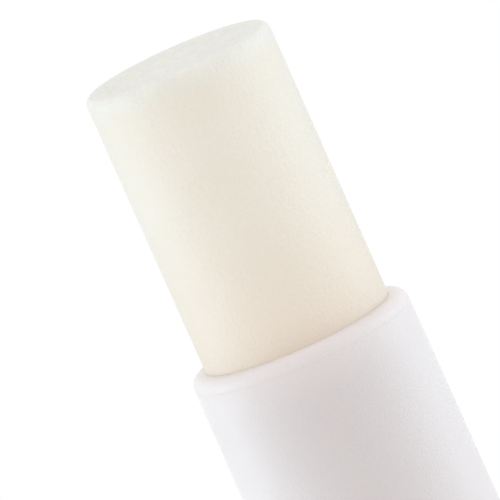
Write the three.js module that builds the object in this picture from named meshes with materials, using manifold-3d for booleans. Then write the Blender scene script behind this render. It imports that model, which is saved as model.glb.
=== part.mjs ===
// A twist-up lip balm stick, standing on its dial with the balm wound part of the way out.
// Turning the ribbed dial turns a left-hand drive screw. The screw lifts a keyed elevator,
// and the elevator carries the balm up through the mouth of the tube.
// Units are millimetres, +Z is up, and the origin is the middle of the dial's foot.
import * as THREE from "three";
import { mergeVertices } from "three/addons/utils/BufferGeometryUtils.js";
import Module from "manifold-3d";

// Tube
const BORE_DIAMETER = 12.36;
const NECK_WALL = 1.02;
const NECK_LENGTH = 22;
const NECK_DRAFT = 0.08;
const BARREL_WALL = 1.82;
const BARREL_LENGTH = 34;
const BARREL_EDGE_ROUND = 0.35;
const SHOULDER_ROUND = 0.4;
const LIP_ROUND = 0.68;
const MOUTH_ROUND = 0.1;
const CAP_BEAD_HEIGHT = 0.12;
const CAP_BEAD_WIDTH = 1.2;
const CAP_BEAD_ABOVE_SHOULDER = 4;

// Guide ribs along the bore, which keep the elevator from turning
const GUIDE_RIB_DEGREES_BEHIND_SIDE = 18;
const GUIDE_RIB_WIDTH = 1;
const GUIDE_RIB_DEPTH = 0.4;
const GUIDE_RIB_BELOW_MOUTH = 2.4;
const GUIDE_CLEARANCE = 0.2;

// Snap joint between the tube and the dial
const SNAP_RIDGE_DEPTH = 0.5;
const SNAP_RIDGE_LENGTH = 1;
const SNAP_ENTRY_DEPTH = 0.1;
const SNAP_ENTRY_LENGTH = 1.9;
const SNAP_CAVITY_DEPTH = 0.3;
const SNAP_FLANGE_BITE = 0.4;
const SNAP_FLANGE_LENGTH = 0.7;
const SNAP_LEAD_LENGTH = 0.9;
const RUNNING_GAP = 0.3;

// Dial
const DIAL_HEIGHT = 6.8;
const DIAL_SETBACK = 0.1;
const DIAL_RIBS = 36;
const DIAL_RIB_DEPTH = 0.4;
const DIAL_RIB_RUNOUT = 0.5;
const DIAL_PLAIN_BAND = 0.9;
const DIAL_EDGE_CHAMFER = 0.2;
const DIAL_FOOT_CHAMFER = 0.5;
const DIAL_FOOT_WIDTH = 1.2;
const DIAL_RECESS_DEPTH = 2.2;
const DIAL_HUB_WALL = 0.8;
const DIAL_COLLAR_WALL = 1.1;
const DIAL_COLLAR_CORE_DEPTH = 5;
const DIAL_GUSSETS = 6;
const DIAL_GUSSET_WIDTH = 0.8;
const DIAL_GUSSET_SETBACK = 0.6;

// Drive screw
const SCREW_DIAMETER = 5.4;
const SCREW_CORE_DIAMETER = 3.6;
const SCREW_LEAD = 4;
const SCREW_TIP_CHAMFER = 0.7;
const SCREW_FLANGE_HEIGHT = 1;
const SCREW_ROOT_ACROSS_CORNERS = 4.6;
const SCREW_ROOT_LENGTH = 6.6;
const THREAD_CLEARANCE = 0.3;
const PRESS_CLEARANCE = 0.1;

// Elevator
const ELEVATOR_HUB_LENGTH = 5.5;
const ELEVATOR_HUB_WALL = 0.9;
const ELEVATOR_FLOOR = 1.4;
const ELEVATOR_CUP_DEPTH = 5.1;
const ELEVATOR_WALL = 0.7;
const ELEVATOR_EDGE_ROUND = 0.35;
const ELEVATOR_CLEARANCE = 0.25;
const ELEVATOR_WINDOWS = 4;
const ELEVATOR_WINDOW_WIDTH = 2.6;
const ELEVATOR_WINDOW_HEIGHT = 2;
const ELEVATOR_WINDOW_ABOVE_FLOOR = 1.6;
const ELEVATOR_TOP_BELOW_MOUTH = 2;

// Balm
const BALM_CLEARANCE = 0.05;
const BALM_EDGE_ROUND = 0.55;
const BALM_SEAT_GAP = 0.3;
const BALM_SHOWN = 18.6;
const BALM_BELOW_MOUTH_WOUND_DOWN = 0.8;

// Smoothness of round forms, and how far a cutting solid passes what it cuts
const OUTER_SIDES = 48;
const INNER_SIDES = 36;
const SCREW_SIDES = 12;
const FILLET_STEPS = 4;
const FILLET_SHARE_OF_ROOM = 0.95;
const RIDGE_STEEPNESS = 0.8;
const CUT_MARGIN = 1;
const MERGE_DISTANCE = 1e-4;

// Radii that pieces share
const boreRadius = BORE_DIAMETER / 2;
const neckRadius = boreRadius + NECK_WALL;
const barrelRadius = boreRadius + BARREL_WALL;
const dialRadius = barrelRadius - DIAL_SETBACK;
const balmRadius = boreRadius - BALM_CLEARANCE;
const elevatorRadius = boreRadius - ELEVATOR_CLEARANCE;
const screwBoreRadius = SCREW_DIAMETER / 2 + THREAD_CLEARANCE;
const dialHubRadius = SCREW_ROOT_ACROSS_CORNERS / 2 + PRESS_CLEARANCE + DIAL_HUB_WALL;
const ridgeRadius = boreRadius - SNAP_RIDGE_DEPTH;
const collarRadius = ridgeRadius - RUNNING_GAP;
const flangeRadius = ridgeRadius + SNAP_FLANGE_BITE;

// Heights, from the foot of the dial up
const tubeBottom = DIAL_HEIGHT + RUNNING_GAP;
const shoulderHeight = tubeBottom + BARREL_LENGTH;
const mouthHeight = shoulderHeight + NECK_LENGTH;
const ridgeTop = tubeBottom + SNAP_ENTRY_LENGTH + SNAP_RIDGE_LENGTH;
const flangeBottom = ridgeTop + RUNNING_GAP;
const collarTop = flangeBottom + SNAP_FLANGE_LENGTH + SNAP_LEAD_LENGTH;
const cavityTop = collarTop + RUNNING_GAP;
const boreBottom = cavityTop + SNAP_CAVITY_DEPTH;
const screwSeat = collarTop + PRESS_CLEARANCE;
const screwFlangeTop = screwSeat + SCREW_FLANGE_HEIGHT;
const guideRibTop = mouthHeight - GUIDE_RIB_BELOW_MOUTH;

// Heights in the elevator's own frame, from its underside up
const cupUnderside = ELEVATOR_HUB_LENGTH;
const cupFloor = cupUnderside + ELEVATOR_FLOOR;
const cupTop = cupFloor + ELEVATOR_CUP_DEPTH;
const windowLow = cupFloor + ELEVATOR_WINDOW_ABOVE_FLOOR;
const windowHigh = windowLow + ELEVATOR_WINDOW_HEIGHT;

// The elevator's lowest and highest places, and its place as photographed
const elevatorLow = screwFlangeTop + RUNNING_GAP;
const elevatorHigh = mouthHeight - ELEVATOR_TOP_BELOW_MOUTH - cupTop;
const elevatorRest = elevatorLow + BALM_BELOW_MOUTH_WOUND_DOWN + BALM_SHOWN;
const screwTop = elevatorHigh + ELEVATOR_HUB_LENGTH;

const wasm = await Module();
wasm.setup();

function solidFrom(geometry) {
  const bare = geometry.clone();
  bare.deleteAttribute("normal");
  bare.deleteAttribute("uv");
  const merged = mergeVertices(bare, MERGE_DISTANCE);
  const vertProperties = merged.attributes.position.array;
  const triVerts = new Uint32Array(merged.index.array);
  return new wasm.Manifold(new wasm.Mesh({ numProp: 3, vertProperties, triVerts }));
}

function geometryFrom(solid) {
  const { vertProperties, triVerts } = solid.getMesh();
  const geometry = new THREE.BufferGeometry();
  geometry.setAttribute("position", new THREE.BufferAttribute(vertProperties, 3));
  geometry.setIndex(new THREE.BufferAttribute(triVerts, 1));
  geometry.computeVertexNormals();
  return geometry;
}

const joined = (first, others) => others.reduce((sum, solid) => sum.add(solid), first);
const cutBy = (first, others) => others.reduce((rest, solid) => rest.subtract(solid), first);

// The same thing at equal steps about the axis
function around(count, make, start = 0) {
  return Array.from({ length: count }, (_, i) => make(start + (2 * Math.PI * i) / count));
}

// The two guide ribs stand a little behind the sides, so that the front of the balm has no groove.
const ribTurn = THREE.MathUtils.degToRad(GUIDE_RIB_DEGREES_BEHIND_SIDE);
const atGuideRibs = (make) => [make(ribTurn), make(Math.PI - ribTurn)];

// The elevator's windows stand half a step round from its sides.
const aroundWindows = (make) => around(ELEVATOR_WINDOWS, make, Math.PI / ELEVATOR_WINDOWS);

// A fillet is limited by the wall or ledge that it rounds.
const filletWithin = (room, fillet) => Math.min(fillet, room * FILLET_SHARE_OF_ROOM);

// The arc that rounds one corner of a profile, from the side it comes from to the side it leaves by
function filletArc(before, corner, after, fillet) {
  const toBefore = before.clone().sub(corner).normalize();
  const toAfter = after.clone().sub(corner).normalize();
  const halfAngle = Math.acos(toBefore.dot(toAfter)) / 2;
  const inward = toBefore.clone().add(toAfter).normalize();
  const centre = corner.clone().addScaledVector(inward, fillet / Math.sin(halfAngle));
  const reach = fillet / Math.tan(halfAngle);
  const start = corner.clone().addScaledVector(toBefore, reach);
  const startArm = start.clone().sub(centre);
  const endArm = corner.clone().addScaledVector(toAfter, reach).sub(centre);
  const sweep = Math.atan2(startArm.cross(endArm), startArm.dot(endArm));
  return Array.from({ length: FILLET_STEPS + 1 }, (_, k) =>
    start.clone().rotateAround(centre, (sweep * k) / FILLET_STEPS),
  );
}

// A solid revolved about +Z. Corners are [radius, height, fillet] and run anticlockwise,
// with radius to the right and height up.
function revolved(corners, sides) {
  const places = corners.map(([radius, height]) => new THREE.Vector2(radius, height));
  const profile = corners.flatMap(([, , fillet], i) =>
    fillet ? filletArc(places[i - 1], places[i], places[i + 1], fillet) : [places[i]],
  );
  const geometry = new THREE.LatheGeometry(profile, sides);
  geometry.rotateX(Math.PI / 2);
  return solidFrom(geometry);
}

// A plain plug between two heights, used to fill and to cut
function plug(radius, low, high, sides) {
  return revolved([[0, low], [radius, low], [radius, high], [0, high]], sides);
}

// A block that runs outwards from one radius to another in the direction of an angle
function radialBlock({ inner, outer, width, low, high }, angle) {
  const geometry = new THREE.BoxGeometry(outer - inner, width, high - low);
  geometry.translate((inner + outer) / 2, 0, (low + high) / 2);
  geometry.rotateZ(angle);
  return solidFrom(geometry);
}

// A bar lofted through level sections, each with a height and a radius for every angle.
// Each cell is split along the way that a left-hand thread climbs.
function loftedBar(sections, sides) {
  const position = [];
  const index = [];
  sections.forEach(({ height, radiusAt }) => {
    for (let k = 0; k < sides; k++) {
      const angle = (2 * Math.PI * k) / sides;
      const radius = radiusAt(angle);
      position.push(radius * Math.cos(angle), radius * Math.sin(angle), height);
    }
  });
  const top = (sections.length - 1) * sides;
  const bottomCentre = top + sides;
  const topCentre = bottomCentre + 1;
  position.push(0, 0, sections.at(0).height);
  position.push(0, 0, sections.at(-1).height);
  for (let k = 0; k < sides; k++) {
    const next = (k + 1) % sides;
    for (let low = 0; low < top; low += sides) {
      const high = low + sides;
      index.push(low + k, low + next, high + k);
      index.push(low + next, high + next, high + k);
    }
    index.push(bottomCentre, next, k);
    index.push(topCentre, top + k, top + next);
  }
  const geometry = new THREE.BufferGeometry();
  geometry.setAttribute("position", new THREE.Float32BufferAttribute(position, 3));
  geometry.setIndex(index);
  return solidFrom(geometry);
}

// Height of a ridge with a flat crest and a flat root, from 0 to 1 over one turn of phase
const ridge = (phase) => THREE.MathUtils.clamp(0.5 + RIDGE_STEEPNESS * Math.cos(phase), 0, 1);

// The drive screw's left-hand thread between two heights, grown by a clearance to cut its nut.
// Sections lie one side's share of the lead apart, so that the ridge follows the facets.
function driveThread(low, high, clearance) {
  const steps = Math.ceil(((high - low) * SCREW_SIDES) / SCREW_LEAD);
  const coreRadius = SCREW_CORE_DIAMETER / 2;
  const threadDepth = SCREW_DIAMETER / 2 - coreRadius;
  const sections = Array.from({ length: steps + 1 }, (_, i) => {
    const height = low + ((high - low) * i) / steps;
    const climb = (2 * Math.PI * height) / SCREW_LEAD;
    return { height, radiusAt: (angle) => coreRadius + threadDepth * ridge(angle + climb) + clearance };
  });
  return loftedBar(sections, SCREW_SIDES);
}

// The screw's six-sided root, grown by a clearance to cut its socket
function sixSidedRoot(low, high, clearance) {
  const cornersOfHexagon = 6;
  return plug(SCREW_ROOT_ACROSS_CORNERS / 2 + clearance, low, high, cornersOfHexagon);
}

// Tube: barrel, shoulder and neck in one moulding, with guide ribs and the snap ridge inside
function makeTube() {
  const neckRadiusAt = (height) => neckRadius + (NECK_DRAFT * (mouthHeight - height)) / NECK_LENGTH;
  const ledge = barrelRadius - neckRadiusAt(shoulderHeight);
  const mouthRound = filletWithin(NECK_WALL / 2, MOUTH_ROUND);
  const lipRound = filletWithin(NECK_WALL - mouthRound, LIP_ROUND);
  const bead = shoulderHeight + CAP_BEAD_ABOVE_SHOULDER;
  const beadLow = bead - CAP_BEAD_WIDTH / 2;
  const beadHigh = bead + CAP_BEAD_WIDTH / 2;
  const entryRadius = boreRadius + SNAP_ENTRY_DEPTH;
  const cavityRadius = boreRadius + SNAP_CAVITY_DEPTH;
  const shell = revolved(
    [
      [entryRadius, tubeBottom],
      [barrelRadius, tubeBottom, filletWithin(barrelRadius - entryRadius, BARREL_EDGE_ROUND)],
      [barrelRadius, shoulderHeight, filletWithin(ledge, SHOULDER_ROUND)],
      [neckRadiusAt(shoulderHeight), shoulderHeight],
      [neckRadiusAt(beadLow), beadLow],
      [neckRadiusAt(bead) + CAP_BEAD_HEIGHT, bead],
      [neckRadiusAt(beadHigh), beadHigh],
      [neckRadius, mouthHeight, lipRound],
      [boreRadius, mouthHeight, mouthRound],
      [boreRadius, boreBottom],
      [cavityRadius, cavityTop],
      [cavityRadius, ridgeTop],
      [ridgeRadius, ridgeTop],
      [ridgeRadius, ridgeTop - SNAP_RIDGE_LENGTH],
      [entryRadius, tubeBottom],
    ],
    OUTER_SIDES,
  );
  return joined(shell, atGuideRibs(guideRib));
}

// One rib along the bore, rooted in the wall, its top sloped so that hot balm runs over it
function guideRib(angle) {
  const root = boreRadius + NECK_WALL / 2;
  const crest = boreRadius - GUIDE_RIB_DEPTH;
  const outline = new THREE.Shape();
  outline.moveTo(crest, boreBottom);
  outline.lineTo(root, boreBottom);
  outline.lineTo(root, guideRibTop);
  outline.lineTo(boreRadius, guideRibTop);
  outline.lineTo(crest, guideRibTop - GUIDE_RIB_DEPTH);
  const geometry = new THREE.ExtrudeGeometry(outline, { depth: GUIDE_RIB_WIDTH, bevelEnabled: false });
  geometry.translate(0, 0, -GUIDE_RIB_WIDTH / 2);
  geometry.rotateX(Math.PI / 2);
  geometry.rotateZ(angle);
  return solidFrom(geometry);
}

// Slots that clear the guide ribs
function guideSlots(low, high) {
  const inner = boreRadius - GUIDE_RIB_DEPTH - GUIDE_CLEARANCE;
  const outer = boreRadius + CUT_MARGIN;
  const width = GUIDE_RIB_WIDTH + 2 * GUIDE_CLEARANCE;
  return atGuideRibs((angle) => radialBlock({ inner, outer, width, low, high }, angle));
}

// Dial: a ribbed wheel with a springy snap collar on top, a socket for the screw
// and a cored foot stiffened by gussets
function makeDial() {
  const footRadius = dialRadius - DIAL_RIB_DEPTH - DIAL_FOOT_CHAMFER;
  const recessRadius = footRadius - DIAL_FOOT_WIDTH;
  const ribsTop = DIAL_HEIGHT - DIAL_PLAIN_BAND;
  const plain = () => dialRadius;
  const ribbed = (angle) => dialRadius - DIAL_RIB_DEPTH * (1 - ridge(DIAL_RIBS * angle + Math.PI / 4));
  const pointsPerRib = 4;
  const wheel = loftedBar(
    [
      { height: 0, radiusAt: () => footRadius },
      { height: DIAL_FOOT_CHAMFER, radiusAt: ribbed },
      { height: ribsTop - DIAL_RIB_RUNOUT, radiusAt: ribbed },
      { height: ribsTop, radiusAt: plain },
      { height: DIAL_HEIGHT - DIAL_EDGE_CHAMFER, radiusAt: plain },
      { height: DIAL_HEIGHT, radiusAt: () => dialRadius - DIAL_EDGE_CHAMFER },
    ],
    DIAL_RIBS * pointsPerRib,
  );
  const collar = revolved(
    [
      [0, DIAL_HEIGHT / 2],
      [collarRadius, DIAL_HEIGHT / 2],
      [collarRadius, flangeBottom],
      [flangeRadius, flangeBottom],
      [flangeRadius, flangeBottom + SNAP_FLANGE_LENGTH],
      [collarRadius, collarTop],
      [0, collarTop],
    ],
    INNER_SIDES,
  );
  const hubCutter = plug(dialHubRadius, -CUT_MARGIN, collarTop + CUT_MARGIN, INNER_SIDES);
  const coreLow = collarTop - DIAL_COLLAR_CORE_DEPTH;
  const coreRadius = collarRadius - DIAL_COLLAR_WALL;
  const collarCore = plug(coreRadius, coreLow, collarTop + CUT_MARGIN, INNER_SIDES).subtract(hubCutter);
  const footRecess = plug(recessRadius, -CUT_MARGIN, DIAL_RECESS_DEPTH, INNER_SIDES).subtract(hubCutter);
  const hubSetback = plug(recessRadius, -CUT_MARGIN, DIAL_GUSSET_SETBACK, INNER_SIDES);
  const gusset = {
    inner: dialHubRadius - DIAL_HUB_WALL / 2,
    outer: recessRadius + DIAL_FOOT_WIDTH / 2,
    width: DIAL_GUSSET_WIDTH,
    low: DIAL_GUSSET_SETBACK,
    high: DIAL_RECESS_DEPTH + DIAL_HUB_WALL / 2,
  };
  const gussets = around(DIAL_GUSSETS, (angle) => radialBlock(gusset, angle));
  const socketLow = collarTop - SCREW_ROOT_LENGTH - PRESS_CLEARANCE;
  const socket = sixSidedRoot(socketLow, collarTop + CUT_MARGIN, PRESS_CLEARANCE);
  const cored = cutBy(wheel.add(collar), [collarCore, footRecess, hubSetback]);
  return joined(cored, gussets).subtract(socket);
}

// Drive screw: six-sided root, seating flange and a left-hand thread with a chamfered tip
function makeScrew() {
  const flangeMiddle = screwSeat + SCREW_FLANGE_HEIGHT / 2;
  const root = sixSidedRoot(collarTop - SCREW_ROOT_LENGTH, flangeMiddle, 0);
  const flange = plug(dialHubRadius, screwSeat, screwFlangeTop, INNER_SIDES);
  const envelopeRadius = SCREW_DIAMETER / 2 + CUT_MARGIN;
  const tipEnvelope = revolved(
    [
      [0, flangeMiddle - CUT_MARGIN],
      [envelopeRadius, flangeMiddle - CUT_MARGIN],
      [envelopeRadius, screwTop - SCREW_TIP_CHAMFER - CUT_MARGIN],
      [SCREW_DIAMETER / 2 - SCREW_TIP_CHAMFER, screwTop],
      [0, screwTop],
    ],
    INNER_SIDES,
  );
  const thread = driveThread(flangeMiddle, screwTop, 0).intersect(tipEnvelope);
  return joined(thread, [flange, root]);
}

// Elevator, in its own frame: a threaded hub under a cup, with slots for the guide ribs
// and windows that the balm grips
function makeElevator() {
  const hubRadius = screwBoreRadius + ELEVATOR_HUB_WALL;
  const edgeRound = filletWithin(ELEVATOR_FLOOR / 2, ELEVATOR_EDGE_ROUND);
  const cup = revolved(
    [
      [0, 0],
      [hubRadius, 0],
      [hubRadius, cupUnderside],
      [elevatorRadius, cupUnderside, edgeRound],
      [elevatorRadius, cupTop],
      [elevatorRadius - ELEVATOR_WALL, cupTop],
      [elevatorRadius - ELEVATOR_WALL, cupFloor],
      [0, cupFloor],
    ],
    INNER_SIDES,
  );
  const threadLow = elevatorRest - CUT_MARGIN;
  const threadHigh = elevatorRest + cupFloor + CUT_MARGIN;
  const nut = driveThread(threadLow, threadHigh, THREAD_CLEARANCE).translate([0, 0, -elevatorRest]);
  const window = {
    inner: elevatorRadius - 2 * ELEVATOR_WALL,
    outer: elevatorRadius + CUT_MARGIN,
    width: ELEVATOR_WINDOW_WIDTH,
    low: windowLow,
    high: windowHigh,
  };
  const windows = aroundWindows((angle) => radialBlock(window, angle));
  return cutBy(cup, [nut, ...windows, ...guideSlots(-CUT_MARGIN, cupTop + CUT_MARGIN)]);
}

// Balm, in the elevator's frame: cast round the screw, down into the cup and into its windows
function makeBalm() {
  const top = mouthHeight - BALM_BELOW_MOUTH_WOUND_DOWN - elevatorLow;
  const boreTop = screwTop + RUNNING_GAP - elevatorLow;
  const footRadius = elevatorRadius - ELEVATOR_WALL - BALM_SEAT_GAP;
  const footLow = cupFloor + BALM_SEAT_GAP;
  const bodyLow = cupTop + BALM_SEAT_GAP;
  const cast = revolved(
    [
      [0, boreTop],
      [screwBoreRadius, boreTop],
      [screwBoreRadius, footLow],
      [footRadius, footLow],
      [footRadius, bodyLow],
      [balmRadius, bodyLow],
      [balmRadius, top, BALM_EDGE_ROUND],
      [0, top],
    ],
    OUTER_SIDES,
  );
  const lug = {
    inner: footRadius - BALM_SEAT_GAP,
    outer: elevatorRadius - ELEVATOR_WALL / 2,
    width: ELEVATOR_WINDOW_WIDTH - 2 * BALM_SEAT_GAP,
    low: windowLow + BALM_SEAT_GAP,
    high: windowHigh - BALM_SEAT_GAP,
  };
  const lugs = aroundWindows((angle) => radialBlock(lug, angle));
  const grooveTop = guideRibTop + RUNNING_GAP - elevatorLow;
  return cutBy(joined(cast, lugs), guideSlots(-CUT_MARGIN, grooveTop));
}

// Materials
const whitePlastic = new THREE.MeshStandardMaterial({ color: 0xf1eeee, roughness: 0.38, metalness: 0 });
const naturalPlastic = new THREE.MeshStandardMaterial({ color: 0xe9e8e3, roughness: 0.45, metalness: 0 });
const creamWax = new THREE.MeshStandardMaterial({ color: 0xf0e6d2, roughness: 0.55, metalness: 0 });

function named(name, solid, material) {
  const mesh = new THREE.Mesh(geometryFrom(solid), material);
  mesh.name = name;
  return mesh;
}

// Assembly: the elevator and the balm ride together at their photographed height
const lift = new THREE.Group();
lift.position.z = elevatorRest;
lift.add(named("elevator_cup", makeElevator(), naturalPlastic));
lift.add(named("balm_stick", makeBalm(), creamWax));

const lipBalm = new THREE.Group();
lipBalm.add(named("tube_body", makeTube(), whitePlastic));
lipBalm.add(named("twist_dial", makeDial(), whitePlastic));
lipBalm.add(named("screw_spindle", makeScrew(), naturalPlastic));
lipBalm.add(lift);

export default lipBalm;
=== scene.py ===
# %% [markdown]
# # A twist-up lip balm stick
# The object is a slim white tube with a ribbed dial at its foot. Turning the dial winds a bar of
# cream balm out of the mouth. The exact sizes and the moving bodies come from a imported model, which
# is loaded first and never changed. Each visible piece is then modelled again with finer surfaces,
# in metres, in the same place.

# %% Load the frame
import math

import bmesh
import bpy
from mathutils import Matrix, Vector


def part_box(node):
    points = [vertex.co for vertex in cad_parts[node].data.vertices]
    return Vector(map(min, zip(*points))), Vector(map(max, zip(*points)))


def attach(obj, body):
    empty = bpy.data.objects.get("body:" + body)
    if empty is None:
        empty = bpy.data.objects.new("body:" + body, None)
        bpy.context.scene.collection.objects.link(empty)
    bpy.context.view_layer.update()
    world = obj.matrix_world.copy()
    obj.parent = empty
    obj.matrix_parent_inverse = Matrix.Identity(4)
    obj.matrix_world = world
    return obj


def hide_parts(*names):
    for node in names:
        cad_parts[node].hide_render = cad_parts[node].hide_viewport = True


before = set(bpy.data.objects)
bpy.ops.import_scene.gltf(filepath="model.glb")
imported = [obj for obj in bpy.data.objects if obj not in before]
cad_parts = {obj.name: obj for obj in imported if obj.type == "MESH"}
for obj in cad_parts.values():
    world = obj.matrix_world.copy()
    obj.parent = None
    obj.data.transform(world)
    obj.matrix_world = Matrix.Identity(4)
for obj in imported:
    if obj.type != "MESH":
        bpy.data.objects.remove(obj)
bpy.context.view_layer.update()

MM = 0.001
scene = bpy.context.scene
scene.view_settings.view_transform = "Standard"

# %% [markdown]
# ## The camera
# The photograph looks a little down on the mouth of the tube, from far away, with the stick leaning
# to the upper left. The stick could be tilted for that, but it stands upright in its own frame, so
# the lean is made by rolling the camera. A very long lens keeps the two sides of the tube parallel.
# The aim and the distance follow from the scale of the photograph, so a change of lens keeps the
# framing.

# %% Place the camera
PHOTO_PIXELS = 500
PIXELS_PER_MM = 16.27
LENS_MM = 800
SENSOR_MM = 36
CLIP_TIMES = 10
LOOK_DOWN = math.radians(9)
LEAN = math.radians(24)
AIM_ABOVE_MOUTH = 5.9 * MM
AIM_LEFT_OF_AXIS = 0.57 * MM

tube_low, tube_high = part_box("tube_body")
mouth = tube_high.z
frame_width = PHOTO_PIXELS / PIXELS_PER_MM * MM
distance = frame_width * LENS_MM / SENSOR_MM
back = Vector((0, -math.cos(LOOK_DOWN), math.sin(LOOK_DOWN)))
level_right = Vector((1, 0, 0))
level_up = back.cross(level_right)
rolled_right = level_right * math.cos(LEAN) - level_up * math.sin(LEAN)
rolled_up = level_right * math.sin(LEAN) + level_up * math.cos(LEAN)
aim = Vector((0, 0, mouth + AIM_ABOVE_MOUTH)) - level_right * AIM_LEFT_OF_AXIS

bpy.ops.object.select_all(action="DESELECT")
bpy.ops.object.camera_add()
camera = bpy.context.object
camera.name = "photo_camera"
camera.data.lens = LENS_MM
camera.data.sensor_width = SENSOR_MM
camera.data.clip_start = distance / CLIP_TIMES
camera.data.clip_end = distance * CLIP_TIMES
turn = Matrix((rolled_right, rolled_up, back)).transposed().to_4x4()
camera.matrix_world = Matrix.Translation(aim + back * distance) @ turn
scene.camera = camera
print("camera distance, mm:", round(distance / MM))

# %% [markdown]
# ## Helpers for materials
# Colours are written as sRGB hex values, as a colour picker shows them, and the shader wants linear
# values, so one function converts them. Every node is added by one more function, which gives it
# its settings and fills its sockets, with a plain value or with a link from another node. Patterns
# are laid on the object's own coordinates, in metres, so that the scale is one over the size of a
# mark.

# %% Colour and node helpers


def srgb(text):
    """The linear colour, with full alpha, of an sRGB hex value such as "#F4EFE6"."""
    shares = [int(text[i : i + 2], 16) / 255 for i in (1, 3, 5)]
    linear = [s / 12.92 if s <= 0.04045 else ((s + 0.055) / 1.055) ** 2.4 for s in shares]
    return (*linear, 1)


def add_node(tree, kind, sockets=None, **settings):
    """Adds a node. A socket is filled by a value, or linked if the value is a node's output."""
    node = tree.nodes.new(kind)
    for name, value in settings.items():
        setattr(node, name, value)
    for name, value in (sockets or {}).items():
        if isinstance(value, bpy.types.NodeSocket):
            tree.links.new(value, node.inputs[name])
        else:
            node.inputs[name].default_value = value
    return node


def new_material(name):
    """An empty node material, its tree and the object's own coordinates."""
    material = bpy.data.materials.new(name)
    material.use_nodes = True
    tree = material.node_tree
    tree.nodes.clear()
    return material, tree, add_node(tree, "ShaderNodeTexCoord").outputs["Object"]


print("half grey is", round(srgb("#808080")[0], 3), "in linear light")

# %% [markdown]
# ## Moulded polypropylene
# The tube and the dial are injection moulded in polypropylene with white pigment. The mould is
# finely blasted, which gives a satin face with soft, wide highlights. The plastic is a little
# translucent, so a small share of its light scatters under the surface and softens the edges. A
# fine noise makes the grain, as a bump and as a slight change of gloss, and a slow one stands for
# the flow marks of the moulding. A picture of a grain could be wrapped round instead, but a noise
# has no seam. The mechanism is the same plastic without pigment, so more light goes into it.

# %% White and natural polypropylene
# The grit of the blasting is finer than this, and is drawn as coarse as it needs to show.
GRAIN = 0.14 * MM
GRAIN_DEPTH = 0.04 * MM
GRAIN_STRENGTH = 0.7
FLOW_MARK = 7 * MM
NOISE_LOW = 0.3
NOISE_HIGH = 0.7
GLOSS_CHANGE = 0.04
PLASTIC_IOR = 1.49
PLASTIC_SPECULAR = 0.25
PLASTIC_SCATTER = (1.0, 0.9, 0.85)
PLASTIC_SCATTER_DEPTH = 0.6 * MM


def polypropylene(name, colour, flow_colour, roughness, translucence):
    """Satin moulded polypropylene: fine blasted grain and barely visible flow marks."""
    material, tree, place = new_material(name)
    flow = add_node(tree, "ShaderNodeTexNoise", {"Vector": place, "Scale": 1 / FLOW_MARK})
    tint = add_node(
        tree,
        "ShaderNodeMix",
        {"Factor": flow.outputs["Fac"], "A": srgb(colour), "B": srgb(flow_colour)},
        data_type="RGBA",
    )
    grit = add_node(tree, "ShaderNodeTexNoise", {"Vector": place, "Scale": 1 / GRAIN})
    satin = add_node(
        tree,
        "ShaderNodeMapRange",
        {
            "Value": grit.outputs["Fac"],
            "From Min": NOISE_LOW,
            "From Max": NOISE_HIGH,
            "To Min": roughness - GLOSS_CHANGE,
            "To Max": roughness + GLOSS_CHANGE,
        },
        interpolation_type="SMOOTHSTEP",
    )
    blasted = add_node(
        tree,
        "ShaderNodeBump",
        {"Height": grit.outputs["Fac"], "Distance": GRAIN_DEPTH, "Strength": GRAIN_STRENGTH},
    )
    shader = add_node(
        tree,
        "ShaderNodeBsdfPrincipled",
        {
            "Base Color": tint.outputs["Result"],
            "Roughness": satin.outputs["Result"],
            "IOR": PLASTIC_IOR,
            "Specular IOR Level": PLASTIC_SPECULAR,
            "Subsurface Weight": translucence,
            "Subsurface Radius": PLASTIC_SCATTER,
            "Subsurface Scale": PLASTIC_SCATTER_DEPTH,
            "Normal": blasted.outputs["Normal"],
        },
    )
    add_node(tree, "ShaderNodeOutputMaterial", {"Surface": shader.outputs["BSDF"]})
    return material


white_plastic = polypropylene(
    "white_polypropylene", "#EDE7E6", "#F0EBEA", roughness=0.4, translucence=0.15
)
natural_plastic = polypropylene(
    "natural_polypropylene", "#E6E4DC", "#EAE8E1", roughness=0.42, translucence=0.5
)
print("made", white_plastic.name, "and", natural_plastic.name)

# %% [markdown]
# ## Cast balm
# The balm is wax and butter, melted and poured, which sets to a soft, dull cream. A slow noise
# mixes two creams, as wax sets unevenly. Next to the mouth the bar gets a warmer, slightly darker
# cream. This is painted shade: it stands for the warm shade next to the lip of the tube. That could
# be painted by hand, but the height mixes it here.

# %% Creams of the balm, with painted shade near the mouth
CREAM = "#E9E4D7"
PALE_CREAM = "#EDE9DF"
# Painted shade: a warmer, slightly darker cream for the bar next to the tube's lip.
PAINTED_SHADE_CREAM = "#EADDCE"
SETTING_MARK = 5 * MM
WAX_DETAIL = 3
PAINTED_SHADE_BELOW_MOUTH = 5 * MM
PAINTED_SHADE_ABOVE_MOUTH = 12 * MM

balm_wax, wax, place = new_material("cream_cast_balm")
height = add_node(wax, "ShaderNodeSeparateXYZ", {"Vector": place}).outputs["Z"]
setting = add_node(
    wax,
    "ShaderNodeTexNoise",
    {"Vector": place, "Scale": 1 / SETTING_MARK, "Detail": WAX_DETAIL},
)
cream = add_node(
    wax,
    "ShaderNodeMix",
    {"Factor": setting.outputs["Fac"], "A": srgb(CREAM), "B": srgb(PALE_CREAM)},
    data_type="RGBA",
)
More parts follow.
